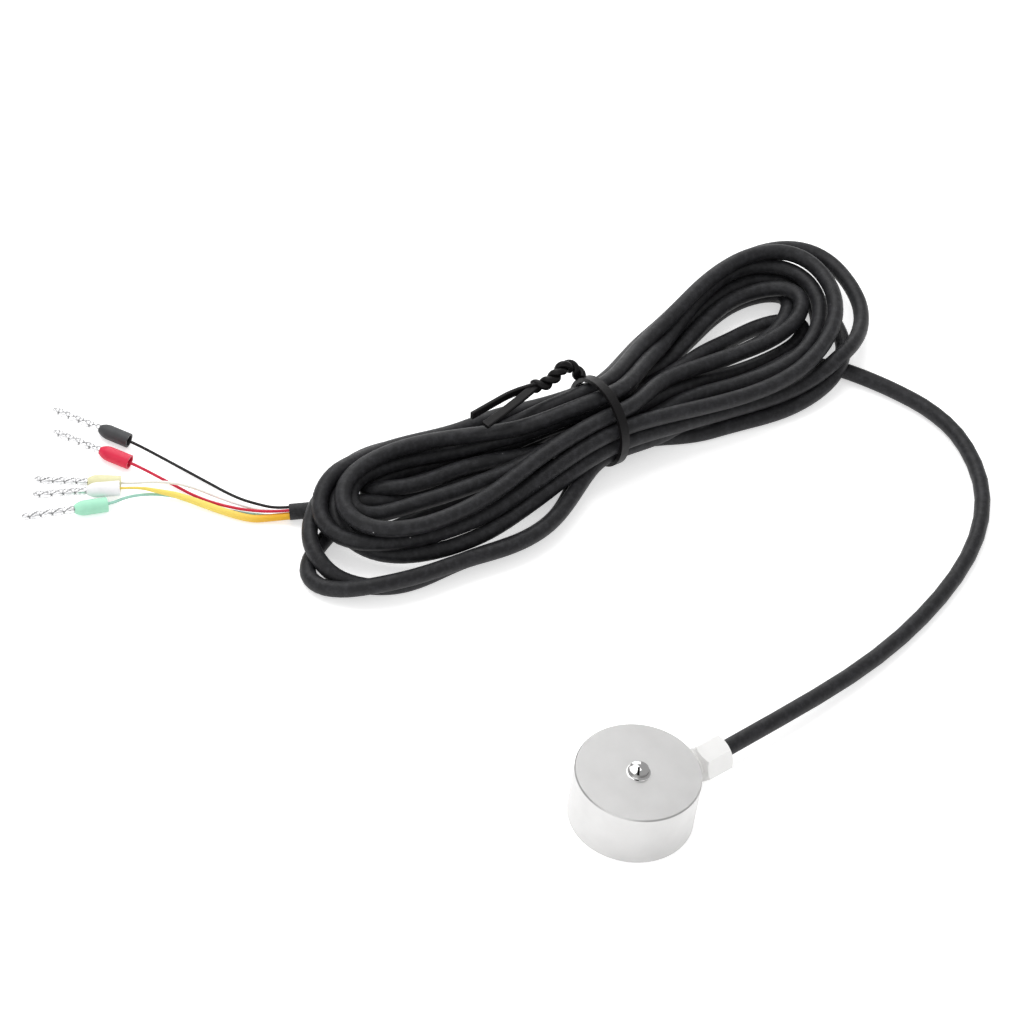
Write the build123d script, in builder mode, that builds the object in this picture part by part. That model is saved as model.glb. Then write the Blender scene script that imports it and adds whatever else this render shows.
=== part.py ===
from build123d import *
from math import asin, cos, pi, radians, sin, sqrt, tan
import os

# Button load cell: a turned stainless puck with a side gland, its cable wound into a tied hank, and five
# leads that end in crimped ferrules. Millimetres, +Z up. The origin is the centre of the puck's underside
# and the gland points along +X.

# Puck
body_d = 25.0
body_h = 12.6
rim_chamfer = 0.25
button_d = 3.8
button_h = 1.5
button_crown_h = 0.45
button_root_r = 0.5
web_t = 2.4
boss_d = 6.0
boss_drop = 1.6
boss_root_r = 0.8
cavity_d = 15.0
cover_ledge = 0.8
cover_t = 1.0
cover_inset = 0.2
cover_edge_chamfer = 0.2

# Tapped holes in the underside
foot_hole_d = 2.5
foot_hole_depth = 5.0
foot_hole_pcd = 20.0
foot_hole_count = 3
foot_hole_start = 60.0

# Parts in the gauge cavity
gauge_l = 3.2
gauge_w = 2.4
gauge_t = 0.3
gauge_count = 4
gauge_start = 45.0
jumper_d = 0.4
jumper_pitch = 1.2
board_gap = 1.0
board_t = 0.8
chip_l = 1.6
chip_w = 0.8
chip_h = 0.5
chip_pitch = 2.6
chip_x = -2.2
chip_edge = 0.1

# Gland
gland_z = 4.25
spotface_depth = 0.45
stub_d = 5.0
stub_l = 4.1
flange_d = 6.3
flange_l = 2.6
flange_chamfer = 0.25
relief_d = 4.3
relief_l = 1.65
spigot_l = 3.2
nut_af = 7.1
nut_l = 6.4
nut_turn = 10.7
nut_wall = 0.8
nut_edge_fall = 0.35
washer_t = 0.35
gland_clearance = 0.1

# Cable
cable_d = 3.4
cable_bore_clearance = 0.1
jacket_reach = 0.95
core_d = 0.62
core_circle_r = 0.95
inner_bend_share = 0.95
sleeve_d = 1.6

# Hank of cable
hank_x = 56.8
hank_y = 80.2
hank_angle = -5.0
waist_d = 17.6
waist_lift = 0.9
waist_l = 6.0
floor_gap = 0.05
hank_corner_share = 0.49

# Twist tie
tie_w = 1.9
tie_t = 0.85
tie_wire_d = 1.45
tie_twist_r = 0.72
tie_edge_r = 0.28
tie_turns = 3
tie_steps = 6

# Ferrules
collar_d = 3.1
collar_l = 6.8
collar_nose_l = 2.3
collar_nose_d = 1.6
collar_nose_bulge = 0.16
collar_mouth_d = 2.3
collar_funnel_l = 3.0
pin_root_d = 1.3
pin_w = 1.5
pin_h = 1.25
pin_corner_r = 0.25
pin_l = 10.8
crimp_pitch = 2.25
crimp_waist = 0.42
crimp_pocket = 0.22
crimp_pocket_l = 1.35
crimp_pocket_w = 0.8

# Worked out
body_r = body_d / 2
cavity_r = cavity_d / 2
cover_d = cavity_d + 2 * cover_ledge
board_d = cavity_d - 2 * board_gap
cover_seat_z = cover_inset + cover_t
web_z = body_h - web_t
board_z = cover_seat_z + board_t
gauge_z = web_z - gauge_t
gauge_r = (boss_d / 2 + boss_root_r + cavity_r) / 2
spotface_x = body_r - spotface_depth
stub_end_x = spotface_x - stub_l
flange_x = spotface_x + flange_l
nut_x = flange_x + relief_l
spigot_x = nut_x + spigot_l
nut_end_x = nut_x + nut_l
washer_x = nut_end_x - nut_wall
seal_x = washer_x - washer_t
cable_bore_d = cable_d + 2 * cable_bore_clearance
packing_d = stub_d - 2 * gland_clearance
jacket_x = stub_end_x - jacket_reach
gland_axis = Axis((0, 0, gland_z), (1, 0, 0))
gland_plane = Plane(origin=(0, 0, gland_z), x_dir=(1, 0, 0), z_dir=(0, -1, 0))

os.makedirs("parts", exist_ok=True)


def finish(part, label):
    part.label = label
    export_step(part, f"parts/{label}.step")


def bend_radii(points):
    """Radius at each inner point: 0.45 of the shorter run beside it, over the tangent of half the turn."""
    vectors = [Vector(*point) for point in points]
    radii = []
    for before, here, after in zip(vectors, vectors[1:], vectors[2:]):
        run_in = here - before
        run_out = after - here
        half_turn = radians(run_in.get_angle(run_out)) / 2
        radii.append(0.45 * min(run_in.length, run_out.length) / tan(half_turn))
    return radii


def report_route(label, radii):
    print(label, "radii", [round(radius, 1) for radius in radii])


def run_direction(start, end):
    return (Vector(*end) - Vector(*start)).normalized()


# Sensor body: one turned piece with the button, the diaphragm and its centre boss
button_top_z = body_h + button_h
button_side_z = button_top_z - button_crown_h
crown_r = ((button_d / 2) ** 2 + button_crown_h ** 2) / (2 * button_crown_h)
crown_half_turn = asin(button_d / 2 / crown_r) / 2
with BuildPart() as sensor_body:
    with BuildSketch(Plane.XZ):
        with BuildLine():
            Polyline(
                (0, button_top_z),
                (0, web_z - boss_drop),
                (boss_d / 2, web_z - boss_drop),
                (boss_d / 2, web_z),
                (cavity_r, web_z),
                (cavity_r, cover_seat_z),
                (cover_d / 2, cover_seat_z),
                (cover_d / 2, 0),
                (body_r, 0),
                (body_r, body_h),
                (button_d / 2, body_h),
                (button_d / 2, button_side_z),
            )
            crown_mid = (crown_r * sin(crown_half_turn), button_top_z - crown_r * (1 - cos(crown_half_turn)))
            ThreePointArc((button_d / 2, button_side_z), crown_mid, (0, button_top_z))
        make_face()
    revolve(axis=Axis.Z)
    button_root = sensor_body.edges().filter_by(GeomType.CIRCLE).filter_by(
        lambda edge: abs(edge.radius - button_d / 2) < 1e-4 and abs(edge.center().Z - body_h) < 1e-4
    )
    fillet(button_root, button_root_r)
    boss_root = sensor_body.edges().filter_by(GeomType.CIRCLE).filter_by(
        lambda edge: abs(edge.radius - boss_d / 2) < 1e-4 and abs(edge.center().Z - web_z) < 1e-4
    )
    fillet(boss_root, boss_root_r)
    outer_rims = sensor_body.edges().filter_by(GeomType.CIRCLE).filter_by(
        lambda edge: abs(edge.radius - body_r) < 1e-4
    )
    chamfer(outer_rims, rim_chamfer)
    # Radial hole for the gland's stub, with a flat for the flange to seat on
    with BuildSketch(Plane.YZ.offset(cavity_r / 2)):
        with Locations((0, gland_z)):
            Circle(stub_d / 2)
    extrude(amount=body_r, mode=Mode.SUBTRACT)
    with BuildSketch(Plane.YZ.offset(spotface_x)):
        with Locations((0, gland_z)):
            Circle(flange_d / 2)
    extrude(amount=body_r, mode=Mode.SUBTRACT)
    # Tapped holes to fasten it from below
    with BuildSketch(Plane.XY):
        with PolarLocations(foot_hole_pcd / 2, foot_hole_count, start_angle=foot_hole_start):
            Circle(foot_hole_d / 2)
    extrude(amount=foot_hole_depth, mode=Mode.SUBTRACT)
finish(sensor_body.part, "sensor_body")

# Cover disc of the gauge cavity, pressed into its recess
with BuildPart() as base_cover:
    with BuildSketch(Plane.XY.offset(cover_inset)):
        Circle(cover_d / 2)
    extrude(amount=cover_t)
    chamfer(base_cover.faces().sort_by(Axis.Z)[0].edges(), cover_edge_chamfer)
finish(base_cover.part, "base_cover")

# Four foil gauges bonded under the diaphragm
for number in range(gauge_count):
    turn = radians(gauge_start + number * 360 / gauge_count)
    outwards = Vector(cos(turn), sin(turn), 0)
    gauge_plane = Plane(origin=outwards * gauge_r + Vector(0, 0, gauge_z), x_dir=outwards, z_dir=(0, 0, 1))
    with BuildPart() as strain_gauge:
        with BuildSketch(gauge_plane):
            Rectangle(gauge_l, gauge_w)
        extrude(amount=gauge_t)
    finish(strain_gauge.part, f"strain_gauge_{number + 1}")

# Round board that joins the gauges to the cable
with BuildPart() as terminal_board:
    with BuildSketch(Plane.XY.offset(cover_seat_z)):
        Circle(board_d / 2)
    extrude(amount=board_t)
finish(terminal_board.part, "terminal_board")

with BuildPart() as trim_resistors:
    with BuildSketch(Plane.XY.offset(board_z)):
        with Locations((chip_x, -chip_pitch / 2), (chip_x, chip_pitch / 2)):
            Rectangle(chip_l, chip_w)
    extrude(amount=chip_h)
    chamfer(trim_resistors.edges().filter_by(Axis.Y).group_by(Axis.Z)[-1], chip_edge)
finish(trim_resistors.part, "trim_resistors")

with BuildPart() as gauge_jumpers:
    with BuildSketch(Plane.XY.offset(board_z)):
        with PolarLocations(gauge_r, gauge_count, start_angle=gauge_start):
            with Locations((0, -jumper_pitch / 2), (0, jumper_pitch / 2)):
                Circle(jumper_d / 2)
    extrude(amount=gauge_z - board_z)
finish(gauge_jumpers.part, "gauge_jumpers")

# Cores of the cable inside the puck: out of the jacket, over and down to the board
inner_names = ("red", "white", "green", "black")
for number, name in enumerate(inner_names):
    turn = radians(45 + 90 * number)
    core_y = core_circle_r * cos(turn)
    core_z = gland_z + core_circle_r * sin(turn)
    inner_run = (core_z - board_z) * inner_bend_share
    corner_x = jacket_x - inner_run
    inner_path = [(jacket_x, core_y, core_z), (corner_x, core_y, core_z), (corner_x, core_y, board_z)]
    with BuildPart() as inner_lead:
        with BuildLine():
            FilletPolyline(*inner_path, radius=inner_run * inner_bend_share)
        with BuildSketch(Plane(origin=inner_path[0], z_dir=(-1, 0, 0))):
            Circle(core_d / 2)
        sweep()
    finish(inner_lead.part, f"inner_lead_{name}")

# Gland body: stub, flange, relief groove and spigot turned in one piece
with BuildPart() as gland_body:
    with BuildSketch(gland_plane):
        with BuildLine():
            Polyline(
                (stub_end_x, cable_bore_d / 2),
                (stub_end_x, stub_d / 2),
                (spotface_x, stub_d / 2),
                (spotface_x, flange_d / 2),
                (flange_x, flange_d / 2),
                (flange_x, relief_d / 2),
                (nut_x, relief_d / 2),
                (nut_x, stub_d / 2),
                (spigot_x, stub_d / 2),
                (spigot_x, cable_bore_d / 2),
                close=True,
            )
        make_face()
    revolve(axis=gland_axis)
    flange_rim = gland_body.edges().filter_by(GeomType.CIRCLE).filter_by(
        lambda edge: abs(edge.radius - flange_d / 2) < 1e-4 and abs(edge.center().X - flange_x) < 1e-4
    )
    chamfer(flange_rim, flange_chamfer)
finish(gland_body.part, "gland_body")

# Hex compression nut with turned corners
nut_corner_r = nut_af / sqrt(3)
with BuildPart() as gland_nut:
    with BuildSketch(Plane.YZ.offset(nut_x)):
        with Locations((0, gland_z)):
            RegularPolygon(nut_af / 2, 6, major_radius=False, rotation=nut_turn)
    extrude(amount=nut_l)
    with BuildSketch(gland_plane):
        with BuildLine():
            Polyline(
                (nut_x, 0),
                (nut_x, nut_af / 2),
                (nut_x + nut_edge_fall, nut_corner_r),
                (nut_end_x - nut_edge_fall, nut_corner_r),
                (nut_end_x, nut_af / 2),
                (nut_end_x, 0),
                close=True,
            )
        make_face()
    revolve(axis=gland_axis, mode=Mode.INTERSECT)
    with BuildSketch(Plane.YZ.offset(nut_x)):
        with Locations((0, gland_z)):
            Circle(stub_d / 2)
    extrude(amount=nut_l - nut_wall, mode=Mode.SUBTRACT)
    with BuildSketch(Plane.YZ.offset(nut_x)):
        with Locations((0, gland_z)):
            Circle(cable_bore_d / 2)
    extrude(amount=nut_l, mode=Mode.SUBTRACT)
finish(gland_nut.part, "gland_nut")

with BuildPart() as gland_seal:
    with BuildSketch(Plane.YZ.offset(spigot_x)):
        with Locations((0, gland_z)):
            Circle(packing_d / 2)
            Circle(cable_d / 2, mode=Mode.SUBTRACT)
    extrude(amount=seal_x - spigot_x)
finish(gland_seal.part, "gland_seal")

with BuildPart() as gland_washer:
    with BuildSketch(Plane.YZ.offset(seal_x)):
        with Locations((0, gland_z)):
            Circle(packing_d / 2)
            Circle(cable_bore_d / 2, mode=Mode.SUBTRACT)
    extrude(amount=washer_t)
finish(gland_washer.part, "gland_washer")

# Hank: outer shape of the wound cable. Each station is measured along the hank from the tie and gives
# its near side, its far side and its top; the tie holds the waist in a round bundle.
hank_plane = Plane(
    origin=(hank_x, hank_y, 0),
    x_dir=(cos(radians(hank_angle)), sin(radians(hank_angle)), 0),
    z_dir=(0, 0, 1),
)
left_stations = [
    (-14.0, -12.2, 11.0, 16.6),
    (-27.0, -16.2, 14.6, 15.4),
    (-44.0, -15.8, 16.4, 13.6),
    (-57.0, -14.2, 15.6, 12.4),
    (-66.0, -11.6, 9.0, 9.6),
    (-71.5, -6.5, 3.0, 5.2),
]
right_stations = [
    (16.0, -9.8, 16.6, 17.2),
    (34.0, -12.2, 26.2, 14.6),
    (50.0, -11.4, 28.4, 12.8),
    (64.0, -5.4, 28.0, 12.0),
    (73.0, 3.0, 25.0, 10.0),
    (77.5, 9.0, 19.0, 7.4),
]
waist_axis_z = waist_lift + waist_d / 2
waist_corner_r = waist_d * hank_corner_share


def hank_station(distance):
    """Plane across the hank: local X is the far side, local Y is up."""
    centre = hank_plane.from_local_coords(Vector(distance, 0, 0))
    return Plane(origin=centre, x_dir=hank_plane.y_dir, z_dir=hank_plane.x_dir)


def lobe(stations, waist_end):
    """One end of the hank, lofted from the waist's round section through its stations."""
    with BuildPart() as shape:
        with BuildSketch(hank_station(waist_end)):
            with Locations((0, waist_axis_z)):
                RectangleRounded(waist_d, waist_d, waist_corner_r)
        for distance, near, far, top in stations:
            width = far - near
            height = top - floor_gap
            with BuildSketch(hank_station(distance)):
                with Locations(((near + far) / 2, floor_gap + height / 2)):
                    RectangleRounded(width, height, min(width, height) * hank_corner_share)
        loft()
    return shape.part


left_lobe = lobe(left_stations, -waist_l / 2)
right_lobe = lobe(right_stations, waist_l / 2)
with BuildPart() as cable_hank:
    with BuildSketch(hank_station(-waist_l / 2)):
        with Locations((0, waist_axis_z)):
            RectangleRounded(waist_d, waist_d, waist_corner_r)
    extrude(amount=waist_l)
    add(left_lobe)
    add(right_lobe)
finish(cable_hank.part, "cable_hank")

# Free run of the cable, from inside the puck through the gland to the near side of the hank
run_points = [
    (jacket_x, 0, gland_z),
    (34.0, 0, gland_z),
    (64.0, 1.9, 2.4),
    (87.0, 7.0, 1.75),
    (106.0, 14.8, 1.75),
    (119.0, 26.0, 1.75),
    (125.2, 40.0, 1.75),
    (124.6, 53.0, 1.75),
    (118.0, 67.0, 1.75),
    (108.0, 73.5, 1.75),
]
run_radii = bend_radii(run_points)
report_route("cable_run", run_radii)
with BuildPart() as cable_run:
    with BuildLine():
        run_line = FilletPolyline(*run_points, radius=run_radii)
    with BuildSketch(Plane(origin=run_points[0], z_dir=(1, 0, 0))):
        Circle(cable_d / 2)
    sweep()
    print("cable_run volume", round(cable_run.part.volume, 1), "section x length",
          round(pi * cable_d ** 2 / 4 * run_line.length, 1))
    add(cable_hank.part, mode=Mode.SUBTRACT)
finish(cable_run.part, "cable_run")

# Cut end of the cable
tail_root = (-1.3, 95.3, 3.2)
tail_end = (-8.1, 99.8, 1.9)
tail_dir = run_direction(tail_root, tail_end)
tail_plane = Plane(origin=tail_end, x_dir=Vector(0, 0, 1).cross(tail_dir), z_dir=tail_dir)
with BuildPart() as cable_tail:
    with BuildSketch(Plane(origin=tail_root, z_dir=tail_dir)):
        Circle(cable_d / 2)
    extrude(amount=(Vector(*tail_end) - Vector(*tail_root)).length)
    add(cable_hank.part, mode=Mode.SUBTRACT)
finish(cable_tail.part, "cable_tail")

# Leads. Each entry: place of the core on the jacket's end face (near side, up), the route's free points,
# the back centre of its ferrule, and the ferrule's heading and pitch in degrees.
lead_start = 2.6
lead_approach = 0.8
leads = {
    "black": ((-0.35, 1.1), [(-12.6, 105.0, 2.2), (-14.4, 109.8, 1.0), (-16.6, 117.4, 0.55), (-20.0, 126.6, 0.8)],
              (-23.6, 134.0, 1.75), 115.6, -1.0),
    "red": ((0.35, 0.85), [(-13.9, 103.6, 2.1), (-16.9, 107.9, 1.05), (-20.5, 113.7, 0.6), (-23.1, 121.0, 0.6)],
            (-27.1, 128.9, 1.75), 116.4, -1.0),
    "white": ((-0.25, 0.25), [(-13.0, 104.0, 1.55), (-16.6, 110.6, 0.8), (-20.8, 117.5, 1.5), (-25.4, 121.0, 2.1)],
              (-32.1, 125.0, 1.75), 143.0, -1.0),
    "green": ((-0.3, -1.1), [(-14.0, 104.5, 0.4), (-18.6, 109.3, 0.35), (-22.4, 115.1, 0.4), (-27.4, 119.4, 1.0),
                             (-33.2, 121.0, 2.1)],
              (-38.0, 121.7, 1.75), 158.0, -1.0),
}
# Shield: a yellow sleeve over the drain wire, which leaves it through a cone and enters the white ferrule
sleeve_place = (0.75, -0.35)
sleeve_start = 4.0
sleeve_points = [(-15.6, 103.2, 0.95), (-19.8, 109.6, 0.95), (-24.0, 115.7, 1.7), (-27.9, 119.3, 2.3)]
drain_run = 2.4
drain_approach = 0.8
sleeve_cone_l = 1.5
sleeve_lip = 0.1
shield_back = (-34.1, 122.8, 3.4)
shield_heading = 146.0
shield_pitch = -8.0


def heading_vector(heading, pitch):
    level = cos(radians(pitch))
    return Vector(level * cos(radians(heading)), level * sin(radians(heading)), sin(radians(pitch)))


def on_jacket_end(near, up, ahead=0.0):
    """Point on the jacket's end face, or that far ahead of it."""
    return tuple(tail_plane.from_local_coords(Vector(near, up, ahead)))


def ferrule_seat(back, ahead):
    """Centre of the pin's rear face, inside the collar's funnel."""
    return tuple(Vector(*back) + ahead * collar_funnel_l)


for name, ((near, up), free_points, back, heading, pitch) in leads.items():
    ahead = heading_vector(heading, pitch)
    approach = tuple(Vector(*back) - ahead * lead_approach)
    wire_points = [on_jacket_end(near, up), on_jacket_end(near, up, lead_start), *free_points, approach]
    wire_points.append(ferrule_seat(back, ahead))
    wire_radii = bend_radii(wire_points)
    report_route(f"wire_{name}", wire_radii)
    with BuildPart() as wire:
        with BuildLine():
            FilletPolyline(*wire_points, radius=wire_radii)
        with BuildSketch(Plane(origin=wire_points[0], z_dir=tail_dir)):
            Circle(core_d / 2)
        sweep()
    finish(wire.part, f"wire_{name}")

shield_ahead = heading_vector(shield_heading, shield_pitch)
sleeve_route = [on_jacket_end(*sleeve_place), on_jacket_end(*sleeve_place, sleeve_start), *sleeve_points]
sleeve_radii = bend_radii(sleeve_route)
sleeve_dir = run_direction(sleeve_route[-2], sleeve_route[-1])
drain_route = [
    sleeve_route[-1],
    tuple(Vector(*sleeve_route[-1]) + sleeve_dir * drain_run),
    tuple(Vector(*shield_back) - shield_ahead * drain_approach),
    ferrule_seat(shield_back, shield_ahead),
]
drain_radii = bend_radii(drain_route)
report_route("shield_lead sleeve", sleeve_radii)
report_route("shield_lead drain", drain_radii)
sleeve_end_plane = Plane(origin=sleeve_route[-1], z_dir=sleeve_dir)
with BuildPart() as shield_lead:
    with BuildLine():
        FilletPolyline(*sleeve_route, radius=sleeve_radii)
    with BuildSketch(Plane(origin=sleeve_route[0], z_dir=tail_dir)):
        Circle(sleeve_d / 2)
    sweep()
    with BuildLine():
        FilletPolyline(*drain_route, radius=drain_radii)
    with BuildSketch(sleeve_end_plane):
        Circle(core_d / 2)
    sweep()
    with BuildSketch(sleeve_end_plane):
        Circle(sleeve_d / 2)
    with BuildSketch(sleeve_end_plane.offset(sleeve_cone_l)):
        Circle(core_d / 2 + sleeve_lip)
    loft()
finish(shield_lead.part, "shield_lead")

# Insulated ferrules: a moulded collar with a funnel mouth and a crimped pin
ferrules = {}
for name, (_, _, back, heading, pitch) in leads.items():
    ferrules[name] = (back, heading_vector(heading, pitch))
ferrules["yellow"] = ferrules.pop("white")
ferrules["white"] = (shield_back, shield_ahead)
crimp_count = int(pin_l / crimp_pitch)
for name, (back, ahead) in ferrules.items():
    side = ahead.cross(Vector(0, 0, 1)).normalized()
    along_plane = Plane(origin=back, x_dir=side, z_dir=side.cross(ahead))
    across_plane = Plane(origin=back, x_dir=side, z_dir=ahead)
    ferrule_axis = Axis(back, ahead)
    nose_start = collar_l - collar_nose_l
    with BuildPart() as collar:
        with BuildSketch(along_plane):
            with BuildLine():
                Polyline(
                    (collar_nose_d / 2, collar_l),
                    (pin_root_d / 2, collar_l),
                    (pin_root_d / 2, collar_funnel_l),
                    (collar_mouth_d / 2, 0),
                    (collar_d / 2, 0),
                    (collar_d / 2, nose_start),
                )
                nose_mid_r = (collar_d + collar_nose_d) / 4 + collar_nose_bulge
                nose_mid = (nose_mid_r, nose_start + collar_nose_l / 2 + collar_nose_bulge)
                ThreePointArc((collar_d / 2, nose_start), nose_mid, (collar_nose_d / 2, collar_l))
            make_face()
        revolve(axis=ferrule_axis)
    finish(collar.part, f"ferrule_collar_{name}")
    with BuildPart() as pin:
        with BuildSketch(across_plane.offset(collar_funnel_l)):
            Circle(pin_root_d / 2)
        extrude(amount=collar_l - collar_funnel_l)
        with BuildSketch(across_plane.offset(collar_l)):
            RectangleRounded(pin_w, pin_h, pin_corner_r)
        extrude(amount=pin_l)
        # Pinched waists between the bites of the crimping tool
        with BuildSketch(along_plane):
            for number in range(1, crimp_count + 1):
                middle = collar_l + number * crimp_pitch
                for hand in (-1, 1):
                    with BuildLine():
                        Polyline(
                            (hand * pin_w / 2, middle - crimp_waist),
                            (hand * (pin_w - crimp_waist) / 2, middle),
                            (hand * pin_w / 2, middle + crimp_waist),
                            close=True,
                        )
                    make_face()
        extrude(amount=pin_h, both=True, mode=Mode.SUBTRACT)
        # Pockets pressed into the upper and lower faces
        for hand in (-1, 1):
            with BuildSketch(along_plane.offset(hand * pin_h / 2)):
                for number in range(crimp_count):
                    with Locations((0, collar_l + (number + 0.5) * crimp_pitch)):
                        Rectangle(crimp_pocket_w, crimp_pocket_l)
            extrude(amount=-hand * crimp_pocket, mode=Mode.SUBTRACT)
    finish(pin.part, f"ferrule_pin_{name}")

# Twist tie: band round the waist, twisted knot arched over the bundle, and two flat tails
tie_knot = [
    (-0.2, 7.6, 15.6),
    (-1.6, 9.4, 17.8),
    (-4.0, 9.3, 19.0),
    (-6.2, 8.7, 18.2),
    (-8.6, 8.4, 17.3),
    (-11.4, 9.2, 17.0),
]
tie_thin_tail = [(-10.8, 9.0, 17.0), (-16.6, 9.6, 16.9), (-22.6, 8.9, 16.6), (-27.0, 8.5, 16.2)]
tie_flat_tail = [(-10.8, 9.0, 17.0), (-16.0, 6.9, 17.6), (-21.6, 5.5, 17.2), (-26.4, 4.5, 16.7)]


def on_hank(points):
    return [tuple(hank_plane.from_local_coords(Vector(*point))) for point in points]


with BuildPart() as twist_tie:
    with BuildSketch(hank_station(-tie_w / 2)):
        with Locations((0, waist_axis_z)):
            RectangleRounded(waist_d + 2 * tie_t, waist_d + 2 * tie_t, waist_corner_r + tie_t)
            RectangleRounded(waist_d, waist_d, waist_corner_r, mode=Mode.SUBTRACT)
    extrude(amount=tie_w)
    knot_line = Spline(*on_hank(tie_knot), mode=Mode.PRIVATE)
    strands = [[], []]
    step_count = tie_turns * tie_steps
    for step in range(step_count + 1):
        share = step / step_count
        knot_plane = Plane(origin=knot_line @ share, x_dir=hank_plane.y_dir, z_dir=knot_line % share)
        for number, strand_points in enumerate(strands):
            turn = 2 * pi * (step / tie_steps + number / 2)
            offset = Vector(tie_twist_r * cos(turn), tie_twist_r * sin(turn), 0)
            strand_points.append(knot_plane.from_local_coords(offset))
    for strand_points in strands:
        with BuildLine():
            strand_line = Spline(*strand_points)
        with BuildSketch(Plane(origin=strand_line @ 0, z_dir=strand_line % 0)):
            Circle(tie_wire_d / 2)
        sweep()
    for tail_points, width, thickness in ((tie_thin_tail, tie_t, tie_w), (tie_flat_tail, tie_w, tie_t)):
        tail_path = on_hank(tail_points)
        with BuildLine():
            FilletPolyline(*tail_path, radius=bend_radii(tail_path))
        tail_heading = run_direction(tail_path[0], tail_path[1])
        tail_side = tail_heading.cross(Vector(0, 0, 1))
        with BuildSketch(Plane(origin=tail_path[0], x_dir=tail_side, z_dir=tail_heading)):
            RectangleRounded(width, thickness, tie_edge_r)
        sweep()
finish(twist_tie.part, "twist_tie")
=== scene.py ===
"""Button load cell on a white ground: a small turned puck, its cable in a tied hank, and five leads.

Everything is in the part's own frame: the origin is the centre of the puck's underside, +Z is up and
the gland points along +X. Sizes are in millimetres and turned into metres where the geometry is made;
the studio's are in metres.
"""

import logging
import math
from dataclasses import dataclass, field
from enum import Enum
from functools import partial

import bpy
import numpy as np
from mathutils import Matrix, Vector


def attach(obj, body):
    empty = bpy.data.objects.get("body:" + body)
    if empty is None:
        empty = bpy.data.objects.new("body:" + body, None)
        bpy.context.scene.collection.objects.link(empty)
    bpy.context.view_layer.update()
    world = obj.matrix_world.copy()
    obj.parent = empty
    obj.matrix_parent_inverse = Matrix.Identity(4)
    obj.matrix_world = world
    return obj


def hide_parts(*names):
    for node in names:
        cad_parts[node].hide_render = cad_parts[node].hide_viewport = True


logging.basicConfig(level=logging.INFO, format="%(message)s")
LOG = logging.getLogger("load_cell")

MM = 0.001
ROOT = "root"

Pair = tuple[float, float]
Triple = tuple[float, float, float]
Piece = bpy.types.Object
Socket = bpy.types.NodeSocket
Feed = Socket | Triple | float

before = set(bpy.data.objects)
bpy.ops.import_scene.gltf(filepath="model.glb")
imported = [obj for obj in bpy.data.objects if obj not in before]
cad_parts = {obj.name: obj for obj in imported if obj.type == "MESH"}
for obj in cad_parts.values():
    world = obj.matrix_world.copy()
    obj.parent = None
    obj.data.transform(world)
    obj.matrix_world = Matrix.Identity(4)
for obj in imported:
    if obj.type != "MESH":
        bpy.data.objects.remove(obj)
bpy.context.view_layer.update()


# Finishes


class Ramp(Enum):
    """How a colour ramp moves between its stops."""

    LINEAR = "LINEAR"
    EASE = "EASE"


def placed(name: str, data: bpy.types.ID) -> Piece:
    """Makes an object of some data and puts it in the scene."""
    piece = bpy.data.objects.new(name, data)
    bpy.context.scene.collection.objects.link(piece)
    return piece


def toned(rgb: Triple, factor: float) -> Triple:
    """The colour made darker or lighter, up to white."""
    return tuple(min(1.0, channel * factor) for channel in rgb)


COLOUR_MIX_INPUTS = (0, 6, 7)
COLOUR_MIX_OUTPUT = 2
VECTOR_MATH = "ShaderNodeVectorMath"


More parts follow.
